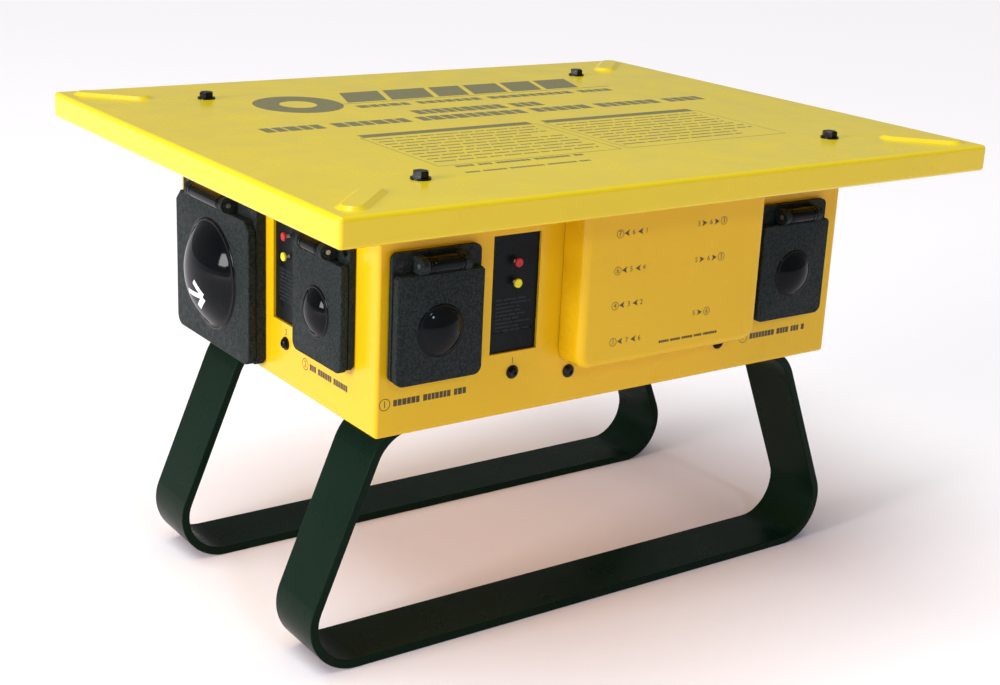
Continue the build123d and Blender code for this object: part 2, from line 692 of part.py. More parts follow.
def arc_band(plane, radius, width, sweep_angle, low, high, mode=Mode.ADD):
    """Curved contact blades, or the slots for them, spaced evenly round the plane's normal."""
    for index in range(BLADE_COUNT):
        start = 90 + index * 360 / BLADE_COUNT - sweep_angle / 2
        with BuildSketch(plane.offset(low)) as profile:
            with BuildLine():
                outer = CenterArc((0, 0), radius + width / 2, start, sweep_angle)
                inner = CenterArc((0, 0), radius - width / 2, start, sweep_angle)
                Line(outer @ 0, inner @ 0)
                Line(outer @ 1, inner @ 1)
            make_face()
        extrude(profile.sketch, amount=high - low, mode=mode)


def make_inlet():
    face = moved(INLET, 0, POWER_HOLE_Y)
    with BuildPart() as inlet_body:
        discs(face.offset(-POWER_DEPTH), POWER_BODY_R, POWER_DEPTH - SHEET - 0.2)
        discs(face.offset(-SHEET - 0.2), POWER_NOSE_R, SHROUD_OUT + SHEET + 0.2)
        discs(face.offset(SHROUD_FLOOR), SHROUD_BORE_R, SHROUD_OUT - SHROUD_FLOOR, mode=Mode.SUBTRACT)
    save(inlet_body.part, "inlet_body")
    with BuildPart() as inlet_blades:
        arc_band(face, BLADE_R, BLADE_T, BLADE_ARC, SHROUD_FLOOR, BLADE_OUT)
    save(inlet_blades.part, "inlet_blades")


def make_feed_outlet():
    face = moved(FEED_OUTLET, 0, POWER_HOLE_Y)
    front = LARGE_COVER["front"]
    with BuildPart() as feed_outlet:
        discs(face.offset(-POWER_DEPTH), POWER_BODY_R, POWER_DEPTH - SHEET - 0.2)
        discs(face.offset(-SHEET - 0.2), POWER_NOSE_R, front + SHEET + 0.2)
        with BuildSketch(face.offset(front)):
            Circle(SHROUD_BORE_R + 1)
            Circle(SHROUD_BORE_R - 1.5, mode=Mode.SUBTRACT)
        extrude(amount=-SHELL_SLOT_DEPTH, mode=Mode.SUBTRACT)
        arc_band(
            face, BLADE_R, BLADE_T + 0.8, BLADE_ARC + 4, front - SHELL_SLOT_DEPTH, front, mode=Mode.SUBTRACT
        )
    save(feed_outlet.part, "feed_outlet_body")


# ---- ground-fault modules -----------------------------------------------------------------------
def make_modules():
    with BuildPart() as modules:
        for plane in MODULES.values():
            block(plane, 0, 0, MODULE_WIDTH, MODULE_HEIGHT, -MODULE_DEPTH, -MODULE_RECESS)
            low, high = MODULE_HEIGHT / 2 - 2, MODULE_EAR_TOP
            for side in (-1, 1):
                middle = side * (low + high) / 2
                block(plane, 0, middle, MODULE_EAR_WIDTH, high - low, -MODULE_RECESS - 3, -SHEET - 0.2)
                ear = moved(plane, 0, side * MODULE_SCREW_Y, -MODULE_RECESS - 3)
                discs(ear, PANEL_HOLE_R, MODULE_RECESS + 3, mode=Mode.SUBTRACT)
                slot = (side * FACE_SLOT_X, FACE_SLOT_Y, FACE_SLOT_WIDTH, FACE_SLOT_HEIGHT)
                block(plane, *slot, -MODULE_RECESS - 1, -MODULE_RECESS, mode=Mode.SUBTRACT)
            stems = [(0, TEST_Y), (0, RESET_Y)]
            face = plane.offset(-MODULE_RECESS)
            discs(face, BUTTON_STEM_R + 0.06, -STEM_DEPTH - 3, stems, mode=Mode.SUBTRACT)
    save(modules.part, "gfci_modules")


def make_button(label, plane, y):
    spot = moved(plane, 0, y, BUTTON_PROUD)
    with BuildPart() as button:
        discs(spot, BUTTON_R, -BUTTON_CAP_T)
        front = button.faces().sort_by(Axis(plane.origin, plane.z_dir))[-1]
        fillet(front.edges(), radius=BUTTON_EDGE_R)
        discs(spot, BUTTON_STEM_R, -(BUTTON_PROUD + MODULE_RECESS + STEM_DEPTH))
    save(button.part, label)


def make_panel_screws():
    """Black flange-head screws that hold the modules and the breaker panel to the walls."""
    spots = [moved(plane, 0, side * MODULE_SCREW_Y) for plane in MODULES.values() for side in (-1, 1)]
    spots += [moved(BREAKER_BAY, x, POST_BOTTOM_Z) for x in (-POST_X, POST_X)]
    with BuildPart() as panel_screws:
        for spot in spots:
            discs(spot, PANEL_SCREW_HEAD_R, PANEL_SCREW_FLANGE_T)
            cone(spot, PANEL_SCREW_HEAD_R - 1, PANEL_SCREW_TIP_R, PANEL_SCREW_FLANGE_T, PANEL_SCREW_HEAD_T)
            discs(spot, PANEL_SCREW_R, -PANEL_SCREW_LENGTH)
    save(panel_screws.part, "panel_screws")


# ---- breaker door -------------------------------------------------------------------------------
def knuckle_spans():
    """Start of each hinge knuckle along the door, the leaf's and the door's in turn."""
    step = DOOR_HINGE_LENGTH / DOOR_KNUCKLES
    starts = [-DOOR_HINGE_LENGTH / 2 + index * step for index in range(DOOR_KNUCKLES)]
    return starts, step - DOOR_KNUCKLE_GAP


def door_block(inset):
    """The door's outer shape or, inset by the sheet's thickness, the hollow behind it."""
    height = DOOR_TOP - DOOR_BOTTOM - 2 * inset
    middle = (DOOR_TOP + DOOR_BOTTOM) / 2
    with BuildPart(mode=Mode.PRIVATE) as shape:
        with BuildSketch(moved(BREAKER_BAY, DOOR_OFFSET_X, middle, DOOR_WALL_GAP)) as outline:
            Rectangle(DOOR_WIDTH - 2 * inset, height)
            fillet(outline.vertices().group_by(Axis.Y)[0], radius=DOOR_CORNER_R - inset)
        extrude(amount=DOOR_PROUD - DOOR_WALL_GAP - inset)
        fillet(shape.faces().sort_by(Axis.Y)[0].edges(), radius=DOOR_FACE_R - inset)
    return shape.part


def make_breaker_door():
    starts, length = knuckle_spans()
    with BuildPart() as breaker_door:
        add(door_block(0))
        add(door_block(SHEET), mode=Mode.SUBTRACT)
        notch = DOOR_AXIS_OUT + DOOR_KNUCKLE_R + 0.6
        opening = (DOOR_OFFSET_X, DOOR_TOP - SHEET / 2, DOOR_WIDTH - 2 * SHEET, 2 * SHEET)
        block(BREAKER_BAY, *opening, 0, notch, mode=Mode.SUBTRACT)
        for start in starts[1::2]:
            bar_along_x(BREAKER_BAY, start, DOOR_AXIS_Z, DOOR_AXIS_OUT, DOOR_KNUCKLE_R, length)
            web_low = DOOR_AXIS_OUT + PIN_R + 0.8
            block(BREAKER_BAY, start + length / 2, DOOR_TOP - SHEET / 2, length, SHEET, web_low, notch + 0.5)
            bar_along_x(
                BREAKER_BAY, start, DOOR_AXIS_Z, DOOR_AXIS_OUT, PIN_R + PIN_FIT, length, mode=Mode.SUBTRACT
            )
    save(breaker_door.part, "breaker_door")


def make_door_hinge():
    starts, length = knuckle_spans()
    leaf_bottom = DOOR_AXIS_Z + DOOR_KNUCKLE_R + 0.5
    plate_t = DOOR_AXIS_OUT - DOOR_KNUCKLE_R + 0.4
    with BuildPart() as door_hinge:
        height = DOOR_LEAF_TOP - leaf_bottom
        block(BREAKER_BAY, 0, leaf_bottom + height / 2, DOOR_HINGE_LENGTH, height, 0, plate_t)
        for start in starts[0::2]:
            bar_along_x(BREAKER_BAY, start, DOOR_AXIS_Z, DOOR_AXIS_OUT, DOOR_KNUCKLE_R, length)
            tongue = leaf_bottom - DOOR_AXIS_Z
            block(BREAKER_BAY, start + length / 2, DOOR_AXIS_Z + tongue / 2, length, tongue, 0, plate_t)
            bar_along_x(
                BREAKER_BAY, start, DOOR_AXIS_Z, DOOR_AXIS_OUT, PIN_R + PIN_FIT, length, mode=Mode.SUBTRACT
            )
    save(door_hinge.part, "door_hinge_leaf")
    with BuildPart() as door_hinge_pin:
        bar_along_x(
            BREAKER_BAY, -DOOR_HINGE_LENGTH / 2, DOOR_AXIS_Z, DOOR_AXIS_OUT, PIN_R, DOOR_HINGE_LENGTH
        )
    save(door_hinge_pin.part, "door_hinge_pin")


# ---- breakers -----------------------------------------------------------------------------------
def breaker_spots():
    """Side (-1 left, 1 right) and height of each breaker, top to bottom, four left, three right."""
    spots = []
    for index in range(BREAKER_COUNT):
        column, row = divmod(index, BREAKER_ROWS)
        z = BREAKER_Z + ((BREAKER_ROWS - 1) / 2 - row) * BREAKER_PITCH
        spots.append((-1 if column == 0 else 1, z))
    return spots


def make_dead_front():
    mid = (PANEL_TOP + PANEL_BOTTOM) / 2
    posts = [(x, z) for x in (-POST_X, POST_X) for z in (POST_TOP_Z, POST_BOTTOM_Z)]
    with BuildPart() as dead_front:
        block(BREAKER_BAY, 0, mid, PANEL_WIDTH, PANEL_TOP - PANEL_BOTTOM, PANEL_FRONT - PANEL_T, PANEL_FRONT)
        for side in (-1, 1):
            levels = [z for spot_side, z in breaker_spots() if spot_side == side]
            height = max(levels) - min(levels) + BREAKER_PITCH
            middle = (max(levels) + min(levels)) / 2
            window = (side * NOSE_OFFSET, middle, NOSE_LENGTH + 0.8, height)
            block(BREAKER_BAY, *window, PANEL_FRONT - 2 * PANEL_T, PANEL_FRONT + 1, mode=Mode.SUBTRACT)
        discs(BREAKER_BAY.offset(-6), PANEL_HOLE_R, 6, posts, mode=Mode.SUBTRACT)
    save(dead_front.part, "dead_front")


def make_breaker_base():
    mid = (PANEL_TOP + PANEL_BOTTOM) / 2
    base_front = BASE_BACK + BASE_T
    post_front = PANEL_FRONT - PANEL_T - 0.1
    with BuildPart() as base:
        block(BREAKER_BAY, 0, mid, PANEL_WIDTH, PANEL_TOP - PANEL_BOTTOM, BASE_BACK, base_front)
        for side in (-1, 1):
            rib = (side * BUS_X, BREAKER_Z, BUS_WIDTH + 2, BUS_LENGTH)
            block(BREAKER_BAY, *rib, base_front, BUS_BACK)
            stud = moved(BREAKER_BAY, side * BUS_X, lug_height(side), BASE_BACK)
            discs(stud, STUD_R + 0.3, BUS_BACK - BASE_BACK, mode=Mode.SUBTRACT)
            for z, hole_r in ((POST_TOP_Z, SCREW_HOLE_R), (POST_BOTTOM_Z, PANEL_HOLE_R)):
                post = moved(BREAKER_BAY, side * POST_X, z)
                discs(post.offset(base_front), POST_R, post_front - base_front)
                discs(post.offset(post_front), hole_r, -PILOT_DEPTH, mode=Mode.SUBTRACT)
    save(base.part, "breaker_base")


def lug_height(side):
    """The left bus bar takes the upper terminal's height and the right one the lower."""
    return POWER_Z + POWER_HOLE_Y - side * TERMINAL_STEP


def make_bus_bars():
    with BuildPart() as bus_bars:
        for side in (-1, 1):
            block(BREAKER_BAY, side * BUS_X, BREAKER_Z, BUS_WIDTH, BUS_LENGTH, BUS_BACK, BUS_BACK + BUS_T)
            stud = moved(BREAKER_BAY, side * BUS_X, lug_height(side), BUS_BACK)
            discs(stud, STUD_R, LUG_FRONT - BUS_BACK)
            block(BREAKER_BAY, 0, lug_height(side), LUG_WIDTH, LUG_HEIGHT, LUG_FRONT - LUG_DEPTH, LUG_FRONT)
    save(bus_bars.part, "bus_bars")


def make_breakers():
    with BuildPart() as breakers:
        for side, z in breaker_spots():
            case_x = side * (BREAKER_LENGTH / 2 + 1)
            nose_x = side * NOSE_OFFSET
            block(BREAKER_BAY, case_x, z, BREAKER_LENGTH, BREAKER_WIDTH, BREAKER_BACK, BREAKER_FRONT)
            block(BREAKER_BAY, nose_x, z, NOSE_LENGTH, BREAKER_WIDTH - 0.8, BREAKER_FRONT, NOSE_OUT)
            slot = (nose_x, z, HANDLE_SLOT, HANDLE_WIDTH + 0.8)
            block(BREAKER_BAY, *slot, HANDLE_PIVOT, NOSE_OUT, mode=Mode.SUBTRACT)
            pivot = handle_plane(side, z, 0)
            half = HANDLE_WIDTH / 2 + 0.4
            discs(pivot.offset(-half), HANDLE_HUB_R + HANDLE_CLEAR, 2 * half, mode=Mode.SUBTRACT)
            half = TRUNNION_HALF + 0.3
            discs(pivot.offset(-half), TRUNNION_R + 0.06, 2 * half, mode=Mode.SUBTRACT)
    save(breakers.part, "circuit_breakers")


def handle_plane(side, z, tilt):
    """Level plane through a handle's pivot, its own -y pointing out of the wall, turned by tilt."""
    origin = BREAKER_BAY.from_local_coords((side * NOSE_OFFSET, z, HANDLE_PIVOT))
    angle = math.radians(tilt)
    return Plane(origin=origin, x_dir=(math.cos(angle), math.sin(angle), 0), z_dir=(0, 0, 1))


def make_handle(label, side, z):
    """A toggle on trunnions, at rest in the on position, tilted towards the middle of the panel."""
    pivot = handle_plane(side, z, -side * HANDLE_TILT)
    reach = HANDLE_TIP - HANDLE_PIVOT
    with BuildPart() as handle:
        discs(pivot.offset(-HANDLE_WIDTH / 2), HANDLE_HUB_R, HANDLE_WIDTH)
        with BuildSketch(pivot.offset(-HANDLE_WIDTH / 2)) as lever:
            with Locations((0, -reach / 2)):
                Rectangle(HANDLE_T, reach)
            fillet(lever.vertices().group_by(Axis.Y)[0], radius=HANDLE_T / 2 - 1)
        extrude(amount=HANDLE_WIDTH)
        discs(pivot.offset(-TRUNNION_HALF), TRUNNION_R, 2 * TRUNNION_HALF)
    save(handle.part, label)


# ---- bars and wires -----------------------------------------------------------------------------
def make_terminal_bar(label, y, bottom):
    holes = [(index * BAR_HOLE_PITCH, y) for index in range(-3, 4)]
    with BuildPart() as bar:
        with BuildSketch(Plane.XY.offset(bottom)):
            with Locations((0, y)):
                Rectangle(BAR_LENGTH, BAR_WIDTH)
        extrude(amount=BAR_HEIGHT)
        discs(Plane.XY.offset(bottom + BAR_HEIGHT), BAR_SCREW_R, BAR_SCREW_HEIGHT, holes)
    save(bar.part, label)


def make_bar_insulators():
    with BuildPart() as insulators:
        with BuildSketch(Plane.XY.offset(FLOOR_TOP)):
            with Locations((-BAR_LENGTH / 3, NEUTRAL_Y), (BAR_LENGTH / 3, NEUTRAL_Y)):
                Rectangle(BAR_WIDTH + 2, BAR_WIDTH + 2)
        extrude(amount=INSULATOR_HEIGHT)
    save(insulators.part, "bar_insulators")


def wire_routes():
    """Four heavy wires from the inlet's terminals, and the same four on to the feed-through outlet."""
    terminal_x = BODY_HALF_WIDTH - POWER_DEPTH
    centre_z = POWER_Z + POWER_HOLE_Y
    lug_y = -BODY_HALF_DEPTH - (LUG_FRONT - LUG_DEPTH / 2)
    near_y, far_y = POWER_Y - TERMINAL_STEP, POWER_Y + TERMINAL_STEP
    neutral_z = FLOOR_TOP + INSULATOR_HEIGHT + BAR_HEIGHT / 2
    ground_z = FLOOR_TOP + BAR_HEIGHT / 2
    routes = []
    for side in (-1, 1):
        lug_x = DOOR_CENTRE_X + side * LUG_WIDTH / 2
        for line in (-1, 1):
            z = lug_height(line)
            drop_x = side * LINE_DROP_X
            routes.append([
                (side * terminal_x, near_y, z), (drop_x, near_y, z), (drop_x, lug_y, z), (lug_x, lug_y, z)
            ])
        upper, lower = centre_z + TERMINAL_STEP, centre_z - TERMINAL_STEP
        drop_x, bar_x = side * NEUTRAL_DROP_X, side * BAR_LENGTH / 2
        routes.append([
            (side * terminal_x, far_y, upper), (drop_x, far_y, upper), (drop_x, NEUTRAL_Y, neutral_z),
            (bar_x, NEUTRAL_Y, neutral_z),
        ])
        drop_x = side * GROUND_DROP_X
        routes.append([
            (side * terminal_x, far_y, lower), (drop_x, far_y, lower), (drop_x, GROUND_Y, ground_z),
            (bar_x, GROUND_Y, ground_z),
        ])
    return routes


def make_power_wires():
    with BuildPart() as wires:
        for route in wire_routes():
            with BuildLine() as path:
                FilletPolyline(*route, radius=WIRE_BEND)
            with BuildSketch(Plane(origin=path.line @ 0, z_dir=path.line % 0)):
                Circle(WIRE_R)
            sweep(path=path.line)
    save(wires.part, "power_wires")


# ---- the whole object ---------------------------------------------------------------------------
def main():
    os.makedirs("parts", exist_ok=True)
    make_enclosure()
    make_top_lid()
    make_lid_gasket()
    make_lid_bolts()
    make_nuts("lid_nuts", FLANGE_UNDER - NUT_HEIGHT, LID_BOLT_POINTS)
    make_leg("front_leg", -1)
    make_leg("rear_leg", 1)
    make_leg_bolts()
    make_nuts("leg_nuts", FLOOR_TOP, LEG_BOLT_POINTS)
    make_cover_plates("outlet_plates", OUTLETS.values(), SMALL_COVER)
    make_cover_plates("power_plates", (INLET, FEED_OUTLET), LARGE_COVER)
    make_plate_gaskets()
    make_plate_screws()
    for number, plane in OUTLETS.items():
        make_flip_lid(f"outlet_lid_{number}", plane, SMALL_COVER)
    make_flip_lid("inlet_lid", INLET, LARGE_COVER)
    make_flip_lid("feed_outlet_lid", FEED_OUTLET, LARGE_COVER)
    make_hinge_pins()
    make_lid_springs()
    make_receptacles()
    make_inlet()
    make_feed_outlet()
    make_modules()
    for number, plane in MODULES.items():
        make_button(f"gfci_test_{number}", plane, TEST_Y)
        make_button(f"gfci_reset_{number}", plane, RESET_Y)
    make_panel_screws()
    make_breaker_door()
    make_door_hinge()
    make_dead_front()
    make_breaker_base()
    make_bus_bars()
    make_breakers()
    for index, (side, z) in enumerate(breaker_spots(), start=1):
        make_handle(f"breaker_handle_{index}", side, z)
    make_terminal_bar("ground_bar", GROUND_Y, FLOOR_TOP)
    make_terminal_bar("neutral_bar", NEUTRAL_Y, FLOOR_TOP + INSULATOR_HEIGHT)
    make_bar_insulators()
    make_power_wires()


if __name__ == "__main__":
    main()
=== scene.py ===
import json
import math
import random

import bmesh
import bpy
from mathutils import Matrix, Vector


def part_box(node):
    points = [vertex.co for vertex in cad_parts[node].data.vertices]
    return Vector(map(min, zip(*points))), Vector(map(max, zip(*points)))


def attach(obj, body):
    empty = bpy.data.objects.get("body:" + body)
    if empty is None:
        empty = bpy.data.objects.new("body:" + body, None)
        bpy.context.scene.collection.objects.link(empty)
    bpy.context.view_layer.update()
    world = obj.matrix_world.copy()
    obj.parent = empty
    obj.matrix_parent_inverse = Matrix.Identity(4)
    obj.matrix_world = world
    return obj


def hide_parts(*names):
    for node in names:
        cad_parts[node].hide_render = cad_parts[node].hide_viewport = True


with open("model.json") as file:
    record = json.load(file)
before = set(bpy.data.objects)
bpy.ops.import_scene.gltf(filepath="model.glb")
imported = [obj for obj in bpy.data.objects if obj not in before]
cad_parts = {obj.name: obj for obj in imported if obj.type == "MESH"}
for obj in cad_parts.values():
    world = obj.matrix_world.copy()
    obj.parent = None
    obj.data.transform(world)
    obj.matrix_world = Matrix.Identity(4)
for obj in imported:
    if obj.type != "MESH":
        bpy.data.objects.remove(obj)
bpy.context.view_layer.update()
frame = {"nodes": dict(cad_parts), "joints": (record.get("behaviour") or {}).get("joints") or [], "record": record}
NODES = frame["nodes"]
random.seed(7)

MM = 0.001
OUTLET_NUMBERS = range(1, 8)
MODULE_NUMBERS = range(1, 7)
BREAKER_NUMBERS = range(1, 8)
RING_STEPS = 40
JOINTS = {joint["name"]: joint for joint in frame["joints"]}
MOUNTS = {mount["name"]: mount for mount in frame["record"]["mounts"]}
TOP = MOUNTS["lid_top"]["pos_m"][2]


def around_turn(steps):
    """The angles of equal steps round a full turn."""
    return [2 * math.pi * step / steps for step in range(steps)]


def add_to_scene(name, data):
    thing = bpy.data.objects.new(name, data)
    bpy.context.scene.collection.objects.link(thing)
    return thing


# ---- camera, stage and light ---------------------------------------------------------------------
SENSOR_WIDTH = 36.0
LENS = 58.32
CAMERA_PLACE = (-0.7032, -0.9841, 0.5587)
CAMERA_BACK = (-0.55218, -0.77478, 0.30792)
CAMERA_UP = (0.14105, 0.27718, 0.95041)
FLOOR_HALF = 60.0


def make_camera():
    data = bpy.data.cameras.new("camera")
    data.sensor_width = SENSOR_WIDTH
    data.lens = LENS
    camera = add_to_scene("camera", data)
    back = Vector(CAMERA_BACK).normalized()
    right = Vector(CAMERA_UP).cross(back).normalized()
    up = back.cross(right)
    turn = Matrix((right, up, back)).transposed()
    camera.matrix_world = Matrix.Translation(CAMERA_PLACE) @ turn.to_4x4()
    bpy.context.scene.camera = camera


def add_light(name, kind, energy, color, direction):
    data = bpy.data.lights.new(name, kind)
    data.energy = energy
    data.color = color
    light = add_to_scene(name, data)
    light.rotation_euler = direction.to_track_quat("-Z", "Y").to_euler()
    return light


def area_light(name, place, target, size, power, color=(1, 1, 1)):
    light = add_light(name, "AREA", power, color, Vector(target) - Vector(place))
    light.location = place
    light.data.shape = "RECTANGLE"
    light.data.size, light.data.size_y = size


def sun_light(name, direction, strength, spread, color):
    light = add_light(name, "SUN", strength, color, Vector(direction))
    light.data.angle = math.radians(spread)


def make_floor():
    mesh = bpy.data.meshes.new("floor")
    corners = [(x * FLOOR_HALF, y * FLOOR_HALF, 0) for x, y in ((-1, -1), (1, -1), (1, 1), (-1, 1))]
    mesh.from_pydata(corners, [], [(0, 1, 2, 3)])
    mesh.materials.append(Finish("studio_floor", (0.99, 0.86, 0.92), 0.8).material)
    add_to_scene("floor", mesh)


def make_stage():
    make_floor()
    world = bpy.data.worlds.new("studio")
    bpy.context.scene.world = world
    world.use_nodes = True
    world.node_tree.nodes["Background"].inputs["Color"].default_value = (1.0, 0.97, 1.0, 1)
    world.node_tree.nodes["Background"].inputs["Strength"].default_value = 0.3
    sun_light("soft_top", (0.25, -0.06, -1.0), 2.5, 50, (0.84, 1.0, 0.93))
    area_light("key_left", (-2.8, -0.2, 1.0), (0, 0, 0.25), (0.95, 0.8), 66)
    area_light("dome_glint", (-0.35, -2.6, 1.75), (0, 0, 0.2), (0.24, 0.24), 10, (0.62, 0.8, 1.0))
    settings = bpy.context.scene.view_settings
    settings.view_transform = "Standard"
    settings.look = "None"


# ---- finishes ------------------------------------------------------------------------------------
class Finish:
    """A Principled material that grows node by node. Textures use object coordinates, in metres."""

    def __init__(self, name, color, roughness, metallic=0.0, coat=0.0, coat_roughness=0.1, specular=0.5):
        self.material = bpy.data.materials.new(name)
        self.material.use_nodes = True
        self.tree = self.material.node_tree
        self.shader = self.tree.nodes["Principled BSDF"]
        self.shader.inputs["Base Color"].default_value = (*color, 1)
        self.shader.inputs["Roughness"].default_value = roughness
        self.shader.inputs["Metallic"].default_value = metallic
        self.shader.inputs["Specular IOR Level"].default_value = specular
        self.shader.inputs["Coat Weight"].default_value = coat
        self.shader.inputs["Coat Roughness"].default_value = coat_roughness
        self.coords = self.tree.nodes.new("ShaderNodeTexCoord").outputs["Object"]
        self.normal = None

    def link(self, output, target):
        self.tree.links.new(output, target)

    def noise(self, scale, detail):
        node = self.tree.nodes.new("ShaderNodeTexNoise")
        node.inputs["Scale"].default_value = scale
        node.inputs["Detail"].default_value = detail
        self.link(self.coords, node.inputs["Vector"])
        return node.outputs["Fac"]

    def cells(self, scale):
        node = self.tree.nodes.new("ShaderNodeTexVoronoi")
        node.feature = "SMOOTH_F1"
        node.inputs["Scale"].default_value = scale
        node.inputs["Smoothness"].default_value = 0.4
        self.link(self.coords, node.inputs["Vector"])
        return node.outputs["Distance"]

    def spread(self, value, low, high):
        """Stretch the middle of a noise, where most of it lies, to run from low to high."""
        node = self.tree.nodes.new("ShaderNodeMapRange")
        node.inputs["From Min"].default_value = 0.35
        node.inputs["From Max"].default_value = 0.65
        node.inputs["To Min"].default_value = low
        node.inputs["To Max"].default_value = high
        self.link(value, node.inputs["Value"])
        return node.outputs["Result"]

    def tint(self, value, first, second):
        node = self.tree.nodes.new("ShaderNodeMix")
        node.data_type = "RGBA"
        node.inputs["A"].default_value = (*first, 1)
        node.inputs["B"].default_value = (*second, 1)
        self.link(value, node.inputs["Factor"])
        self.link(node.outputs["Result"], self.shader.inputs["Base Color"])

    def rough(self, value):
        self.link(value, self.shader.inputs["Roughness"])

    def bump(self, height, strength, depth):
        node = self.tree.nodes.new("ShaderNodeBump")
        node.inputs["Strength"].default_value = strength
        node.inputs["Distance"].default_value = depth
        self.link(height, node.inputs["Height"])
        if self.normal is not None:
            self.link(self.normal, node.inputs["Normal"])
        self.normal = node.outputs["Normal"]
        self.link(self.normal, self.shader.inputs["Normal"])


def powder_coat(name, first, second, roughness, specular=0.5, coat=0.25):
    finish = Finish(name, first, roughness, coat=coat, coat_roughness=0.12, specular=specular)
    finish.tint(finish.spread(finish.noise(11, 3), 0, 1), first, second)
    finish.rough(finish.spread(finish.noise(35, 3), roughness - 0.04, roughness + 0.05))
    finish.bump(finish.noise(5, 0), 0.25, 0.0015)
    finish.bump(finish.noise(900, 2), 0.1, 0.0002)
    return finish.material


def textured_plastic(name, first, second, roughness, scale=1500, depth=0.00025, specular=0.5):
    finish = Finish(name, first, roughness, specular=specular)
    finish.tint(finish.spread(finish.noise(scale * 0.6, 3), 0, 1), first, second)
    finish.rough(finish.spread(finish.noise(260, 2), roughness - 0.06, roughness + 0.08))
    finish.bump(finish.cells(scale), 0.7, depth)
    return finish.material


def gloss_plastic(name, first, second, roughness=0.12, coat=0.6, specular=0.5):
    finish = Finish(name, first, roughness, coat=coat, coat_roughness=0.03, specular=specular)
    finish.tint(finish.spread(finish.noise(45, 3), 0, 1), first, second)
    finish.rough(finish.spread(finish.noise(90, 3), roughness * 0.8, roughness * 1.3))
    finish.bump(finish.noise(120, 2), 0.05, 0.0004)
    return finish.material


def metal(name, first, second, roughness):
    grain = 500
    finish = Finish(name, first, roughness, metallic=1.0)
    finish.tint(finish.spread(finish.noise(150, 3), 0, 1), first, second)
    finish.rough(finish.spread(finish.noise(grain, 3), roughness - 0.06, roughness + 0.1))
    finish.bump(finish.noise(grain * 2, 2), 0.12, 0.0002)
    return finish.material


MATERIALS = {
    "yellow_paint": powder_coat("yellow_paint", (0.8, 0.475, 0.005), (0.78, 0.46, 0.004), 0.24, 0.25, 0.1),
    # painted light: a paler, greener copy of the walls' yellow paint whose colour stands in for light from above
    # falling on the lid
    "lid_paint_painted_top_light": powder_coat("lid_paint_painted_top_light", (0.79, 0.55, 0.006), (0.76, 0.535, 0.005), 0.24, 0.4, 0.2),
    "black_paint": powder_coat("black_paint", (0.003, 0.012, 0.006), (0.004, 0.015, 0.008), 0.3, 0.05, 0.0),
    "black_zinc": metal("black_zinc", (0.012, 0.012, 0.013), (0.03, 0.03, 0.034), 0.3),
    "zinc_steel": metal("zinc_steel", (0.55, 0.55, 0.53), (0.66, 0.66, 0.62), 0.32),
    "grey_steel": powder_coat("grey_steel", (0.2, 0.21, 0.22), (0.17, 0.18, 0.19), 0.4),
    "grey_plastic": textured_plastic("grey_plastic", (0.07, 0.07, 0.075), (0.09, 0.09, 0.095), 0.5),
    "copper": metal("copper", (0.66, 0.3, 0.16), (0.5, 0.2, 0.1), 0.35),
    "brass": metal("brass", (0.7, 0.5, 0.2), (0.58, 0.4, 0.15), 0.3),
    "black_plastic": textured_plastic("black_plastic", (0.008, 0.008, 0.009), (0.014, 0.014, 0.016), 0.42),
    "black_gloss": gloss_plastic("black_gloss", (0.004, 0.006, 0.007), (0.007, 0.009, 0.011), 0.3, 0.0, 0.1),
    "cover_plastic": textured_plastic(
        "cover_plastic", (0.006, 0.010, 0.010), (0.022, 0.029, 0.029), 0.5, 1000, 0.0003, 0.1
    ),
    "cover_gloss": gloss_plastic(
        "cover_gloss", (0.002, 0.003, 0.004), (0.004, 0.005, 0.006), 0.06, 0.0, 0.11
    ),
    "red_plastic": gloss_plastic("red_plastic", (0.47, 0.012, 0.018), (0.4, 0.01, 0.015), 0.3, 0.1, 0.3),
    "yellow_plastic": gloss_plastic("yellow_plastic", (0.82, 0.74, 0.012), (0.76, 0.68, 0.01), 0.3, 0.1, 0.3),
    "white_plastic": gloss_plastic("white_plastic", (0.8, 0.8, 0.78), (0.72, 0.72, 0.7), 0.3, 0.2),
    "handle_plastic": textured_plastic("handle_plastic", (0.02, 0.02, 0.02), (0.03, 0.03, 0.03), 0.45),
    "black_rubber": textured_plastic("black_rubber", (0.012, 0.012, 0.012), (0.02, 0.02, 0.02), 0.75),
    "wire_sheath": gloss_plastic("wire_sheath", (0.015, 0.015, 0.015), (0.02, 0.02, 0.02), 0.3, 0.1),
    "lid_ink": textured_plastic("lid_ink", (0.155, 0.13, 0.05), (0.195, 0.165, 0.07), 0.4, 900, 0.00002),
    "dark_ink": textured_plastic("dark_ink", (0.045, 0.028, 0.008), (0.07, 0.045, 0.012), 0.5, 900, 0.00002),
    "faint_ink": textured_plastic(
        "faint_ink", (0.022, 0.028, 0.03), (0.03, 0.037, 0.04), 0.5, 900, 0.00002, 0.1
    ),
    "white_ink": textured_plastic("white_ink", (0.8, 0.82, 0.88), (0.7, 0.72, 0.78), 0.4, 900, 0.00002),
}


def dress_nodes():
    slots = {row["node"]: row["material_slot"] for row in frame["record"]["subparts"]}
    for name, node in NODES.items():
        node.data.materials.clear()
        # the lid takes the copy of the yellow paint that has light from above painted into its colour
        node.data.materials.append(MATERIALS["lid_paint_painted_top_light" if name == "top_lid" else slots[name]])


# ---- closed pieces built from rings of points, in local millimetres -------------------------------
FRONT = (0, -1, 0)


def wall_frame(origin, out):
    """Local x to the right seen from outside, y up and z out of the wall, from an origin in metres."""
    up, out = Vector((0, 0, 1)), Vector(out)
    turn = Matrix((up.cross(out), up, out)).transposed().to_4x4()
    return Matrix.Translation(origin) @ turn


